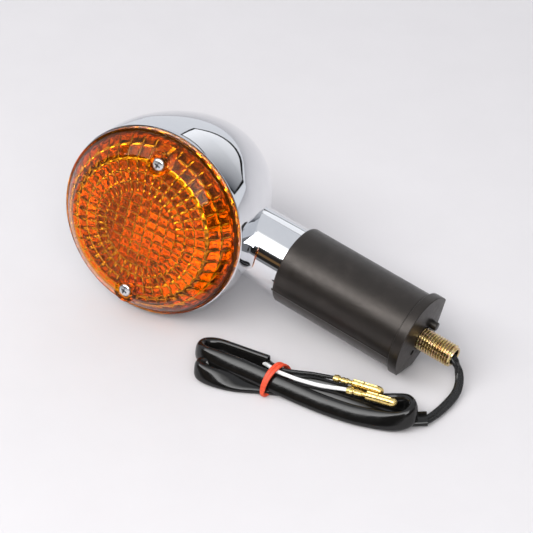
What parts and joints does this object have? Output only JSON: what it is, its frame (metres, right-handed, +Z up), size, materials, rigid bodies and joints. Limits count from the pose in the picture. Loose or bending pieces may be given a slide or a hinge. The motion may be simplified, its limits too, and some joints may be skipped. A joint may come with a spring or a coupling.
{
  "type": "motorcycle turn signal",
  "caption": "Round amber turn signal in a chrome bullet housing on a rubber stem with a hollow threaded stud and a banded lead.",
  "frame": {"origin": "centre of the underside of the lamp's bounding box, without the free lead, on the surface that it lies on", "axes": "+X along the stem from the lens housing towards the stud, +Z up from the surface; the lens faces -Y and tips back by 11.5 degrees"},
  "size_m": [0.1903, 0.1065, 0.0874],
  "materials": {
    "chrome": "bright chrome plating on a smooth pressed and die-cast body",
    "amber_lens": "clear orange-amber moulded plastic, glossy outside, ribs and pillow optics inside",
    "seal_rubber": "matte black sealing rubber",
    "zinc_steel": "bright zinc-plated steel",
    "reflector_silver": "bright pressed aluminium",
    "brass": "bright brass with drawn grain",
    "bulb_glass": "clear blown glass",
    "bright_wire": "bright drawn wire",
    "solder": "dull soft solder",
    "phenolic": "brown laminated insulating board",
    "black_rubber": "satin black moulded rubber with a fine parting line",
    "yellow_zinc": "yellow-passivated zinc with a faint rainbow tint",
    "black_pvc": "soft glossy black PVC",
    "white_pvc": "white wire insulation",
    "band_rubber": "orange-red elastic band"
  },
  "bodies": {
    "mount": {"base_plate": "black_rubber", "rubber_sleeve": "black_rubber", "threaded_stud": "yellow_zinc", "stud_cable": "black_pvc", "lead_cable": "black_pvc", "sleeve_hank": "black_pvc", "white_tail": "white_pvc", "black_tail": "black_pvc", "white_bullet_terminal": "brass", "black_bullet_terminal": "brass", "rubber_band": "band_rubber"},
    "head": {"housing": "chrome", "stem_tube": "chrome", "reflector": "reflector_silver", "lens_gasket": "seal_rubber", "socket_shell": "zinc_steel", "socket_insulator": "phenolic", "earth_tag": "brass", "contact_spring": "bright_wire", "live_lead": "white_pvc", "earth_lead": "black_pvc"},
    "lens_cover": {"lens": "amber_lens"},
    "upper_screw": {"lens_screw_upper": "zinc_steel"},
    "lower_screw": {"lens_screw_lower": "zinc_steel"},
    "bulb": {"bulb_cap": "brass", "bulb_glass": "bulb_glass", "bulb_filament": "bright_wire", "bulb_contact": "solder"},
    "plunger": {"contact_plunger": "brass"}
  },
  "joints": [
    {"name": "stem_flex", "type": "hinge", "parent": "mount", "child": "head", "pos_m": [0.04872, 0.00018, 0.02106], "axis": [0.1818, 0.2229, 0.9577], "range_deg": [-10, 10], "stiffness_Nm_per_rad": 8, "deforming": ["rubber_sleeve"]},
    {"name": "lens_removal", "type": "slide", "parent": "head", "child": "lens_cover", "axis": [0.1389, -0.97, 0.1994], "range_m": [0, 0.03]},
    {"name": "upper_screw_turn", "type": "hinge", "parent": "lens_cover", "child": "upper_screw", "pos_m": [-0.03913, -0.02821, 0.07765], "axis": [0.1389, -0.97, 0.1994], "continuous": true},
    {"name": "lower_screw_turn", "type": "hinge", "parent": "lens_cover", "child": "lower_screw", "pos_m": [-0.05073, -0.04243, 0.01655], "axis": [0.1389, -0.97, 0.1994], "continuous": true},
    {"name": "bulb_push", "type": "slide", "parent": "head", "child": "bulb", "axis": [-0.1389, 0.97, -0.1994], "range_m": [0, 0.0015], "stiffness_N_per_m": 3000, "springref_m": -0.002},
    {"name": "plunger_travel", "type": "slide", "parent": "head", "child": "plunger", "axis": [-0.1389, 0.97, -0.1994], "range_m": [0, 0.0015], "deforming": ["contact_spring"]}
  ],
  "couplings": [
    {"joint": "plunger_travel", "follows": "bulb_push", "ratio": 1}
  ]
}
